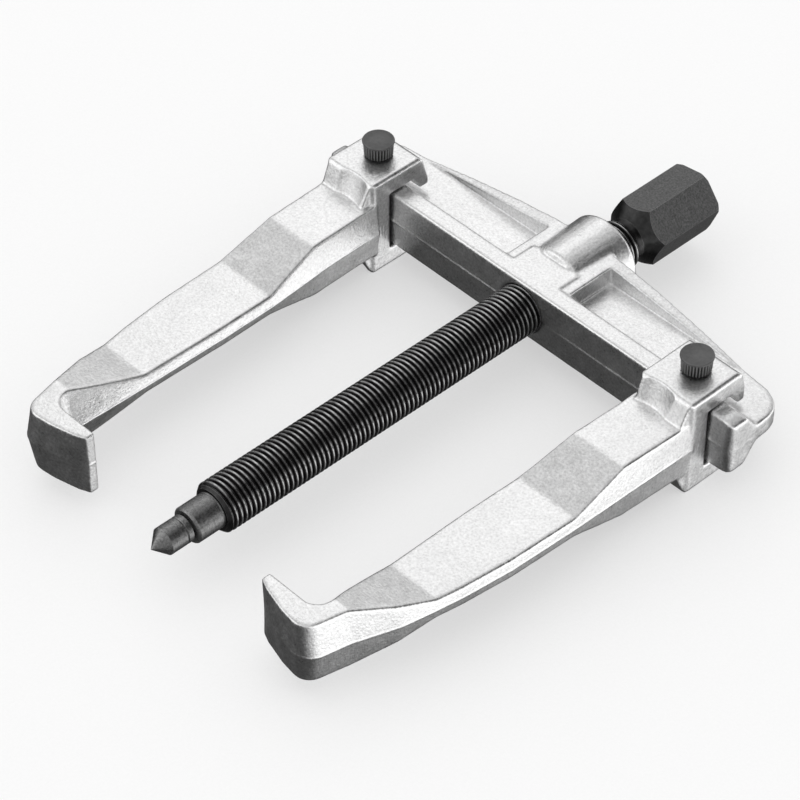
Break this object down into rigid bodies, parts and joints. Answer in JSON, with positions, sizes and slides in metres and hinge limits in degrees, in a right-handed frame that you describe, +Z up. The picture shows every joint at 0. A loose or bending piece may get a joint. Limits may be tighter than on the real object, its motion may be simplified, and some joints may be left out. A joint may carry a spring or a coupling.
{
  "type": "gear puller",
  "caption": "Gear puller with a left and a right hooked arm that slide along a ribbed crossbeam, and a hexagon-headed screw with a live centre point between them.",
  "frame": {"origin": "the point of the centre pin with the puller as pictured, on the spindle's axis", "axes": "+Y along the spindle from its point to its hexagon, +X along the crossbeam towards the right arm, +Z up, the side the thumbscrews stand on"},
  "size_m": [0.146, 0.19, 0.0354],
  "materials": {
    "forged_steel": "forged and bright plated, finely speckled",
    "black_oxide": "black oxide, oiled",
    "spring_steel": "hardened, polished",
    "black_screw": "black oxide, knurled"
  },
  "bodies": {
    "beam": {"crossbeam": "forged_steel"},
    "left_jaw": {"left_arm": "forged_steel"},
    "right_jaw": {"right_arm": "forged_steel"},
    "left_lock": {"left_thumbscrew": "black_screw"},
    "right_lock": {"right_thumbscrew": "black_screw"},
    "live_centre": {"centre_pin": "black_oxide", "snap_ring": "spring_steel"},
    "screw": {"spindle": "black_oxide", "thrust_ball": "spring_steel"}
  },
  "joints": [
    {"name": "left_arm_slide", "type": "slide", "parent": "beam", "child": "left_jaw", "axis": [-1, 0, 0], "range_m": [-0.024, 0.007]},
    {"name": "right_arm_slide", "type": "slide", "parent": "beam", "child": "right_jaw", "axis": [1, 0, 0], "range_m": [-0.024, 0.007]},
    {"name": "left_thumbscrew_turn", "type": "hinge", "parent": "left_jaw", "child": "left_lock", "pos_m": [-0.057, 0.1282, 0.0152], "axis": [0, 0, 1], "range_deg": [0, 720]},
    {"name": "right_thumbscrew_turn", "type": "hinge", "parent": "right_jaw", "child": "right_lock", "pos_m": [0.057, 0.1282, 0.0152], "axis": [0, 0, 1], "range_deg": [0, 720]},
    {"name": "spindle_feed", "type": "slide", "parent": "beam", "child": "live_centre", "axis": [0, -1, 0], "range_m": [-0.084, 0.009]},
    {"name": "spindle_turn", "type": "hinge", "parent": "live_centre", "child": "screw", "pos_m": [0, 0.0113, 0], "axis": [0, -1, 0], "range_deg": [-20160, 2160]}
  ],
  "couplings": [
    {"joint": "spindle_feed", "follows": "spindle_turn", "m_per_rad": 0.00023873}
  ]
}
